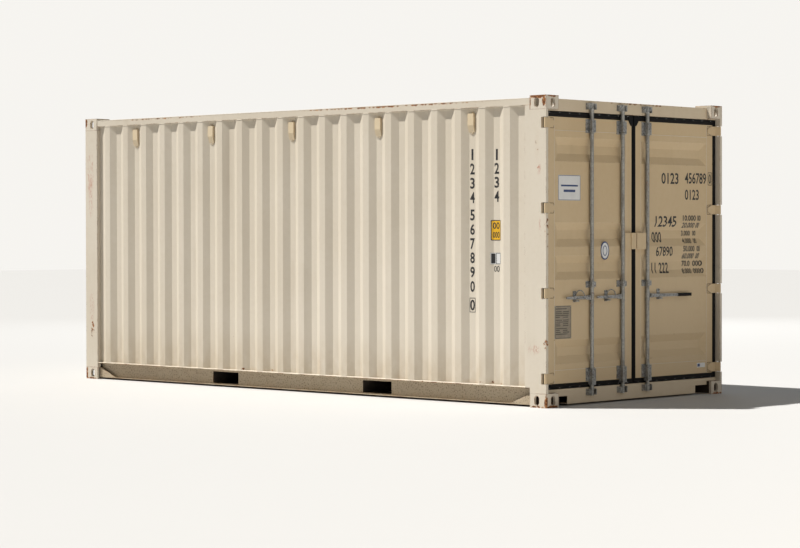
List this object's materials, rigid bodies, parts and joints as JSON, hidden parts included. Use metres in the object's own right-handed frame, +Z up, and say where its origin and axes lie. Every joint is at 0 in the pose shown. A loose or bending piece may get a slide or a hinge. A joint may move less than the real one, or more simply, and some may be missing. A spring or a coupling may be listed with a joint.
{
  "type": "shipping container",
  "caption": "Twenty-foot corrugated steel shipping container on corner castings, with fork pockets and double end doors that swing open on cam-locked bars.",
  "frame": {"origin": "centre of the container's footprint, at the underside of the lower corner castings", "axes": "+X along the length towards the doors, +Y across towards the right-hand side seen facing the doors, +Z up"},
  "size_m": [6.058, 2.438, 2.591],
  "materials": {
    "paint": "satin beige paint, rusted at the edges",
    "underframe": "dull dark coating",
    "plywood": "worn sealed plywood",
    "gasket": "matt black rubber",
    "galvanised": "dull galvanised steel",
    "plate": "weathered plate"
  },
  "bodies": {
    "container": {"corner_castings_rear": "paint", "corner_castings_front": "paint", "bottom_side_rails_front": "paint", "bottom_side_rails_middle": "paint", "bottom_side_rails_rear": "paint", "fork_pocket_surrounds": "paint", "top_side_rail_right": "paint", "top_side_rail_left": "paint", "front_sill": "paint", "front_header": "paint", "front_post_right": "paint", "front_post_left": "paint", "rear_post_right": "paint", "rear_post_left": "paint", "door_header": "paint", "door_sill": "paint", "side_wall_right": "paint", "side_wall_left": "paint", "front_wall": "paint", "roof": "paint", "floor": "plywood", "cross_members": "underframe", "fork_pocket_front": "underframe", "fork_pocket_rear": "underframe", "ventilators": "paint", "cam_keepers": "galvanised"},
    "door_left": {"door_leaf_left": "paint", "door_gasket_left": "gasket", "hinge_blades_left": "paint", "bar_guides_left": "galvanised", "handle_retainers_left": "galvanised", "lock_box_left": "paint", "data_plate": "plate"},
    "door_right": {"door_leaf_right": "paint", "door_gasket_right": "gasket", "hinge_blades_right": "paint", "bar_guides_right": "galvanised", "handle_retainer_right": "galvanised", "lock_box_right": "paint"},
    "bar_one": {"lock_bar_one": "galvanised"},
    "bar_two": {"lock_bar_two": "galvanised"},
    "bar_three": {"lock_bar_three": "galvanised"},
    "lever_one": {"handle_one": "galvanised"},
    "lever_two": {"handle_two": "galvanised"},
    "lever_three": {"handle_three": "galvanised", "handle_grip": "gasket"}
  },
  "joints": [
    {"name": "door_left_swing", "type": "hinge", "parent": "container", "child": "door_left", "pos_m": [3.012, -1.204, 1.3], "axis": [0, 0, -1], "range_deg": [0, 265]},
    {"name": "door_right_swing", "type": "hinge", "parent": "container", "child": "door_right", "pos_m": [3.012, 1.204, 1.3], "axis": [0, 0, 1], "range_deg": [0, 265]},
    {"name": "bar_one_turn", "type": "hinge", "parent": "door_left", "child": "bar_one", "pos_m": [3.001, -0.59, 1.3], "axis": [0, 0, -1], "range_deg": [-95, 0]},
    {"name": "lever_one_lift", "type": "hinge", "parent": "bar_one", "child": "lever_one", "pos_m": [3.0106, -0.634, 0.905], "axis": [1, 0, 0], "range_deg": [-35, 0]},
    {"name": "bar_two_turn", "type": "hinge", "parent": "door_left", "child": "bar_two", "pos_m": [3.001, -0.174, 1.3], "axis": [0, 0, -1], "range_deg": [-95, 0]},
    {"name": "lever_two_lift", "type": "hinge", "parent": "bar_two", "child": "lever_two", "pos_m": [3.0106, -0.218, 0.905], "axis": [1, 0, 0], "range_deg": [-35, 0]},
    {"name": "bar_three_turn", "type": "hinge", "parent": "door_right", "child": "bar_three", "pos_m": [3.001, 0.17, 1.3], "axis": [0, 0, 1], "range_deg": [-95, 0]},
    {"name": "lever_three_lift", "type": "hinge", "parent": "bar_three", "child": "lever_three", "pos_m": [3.0106, 0.214, 0.905], "axis": [-1, 0, 0], "range_deg": [-35, 0]}
  ]
}
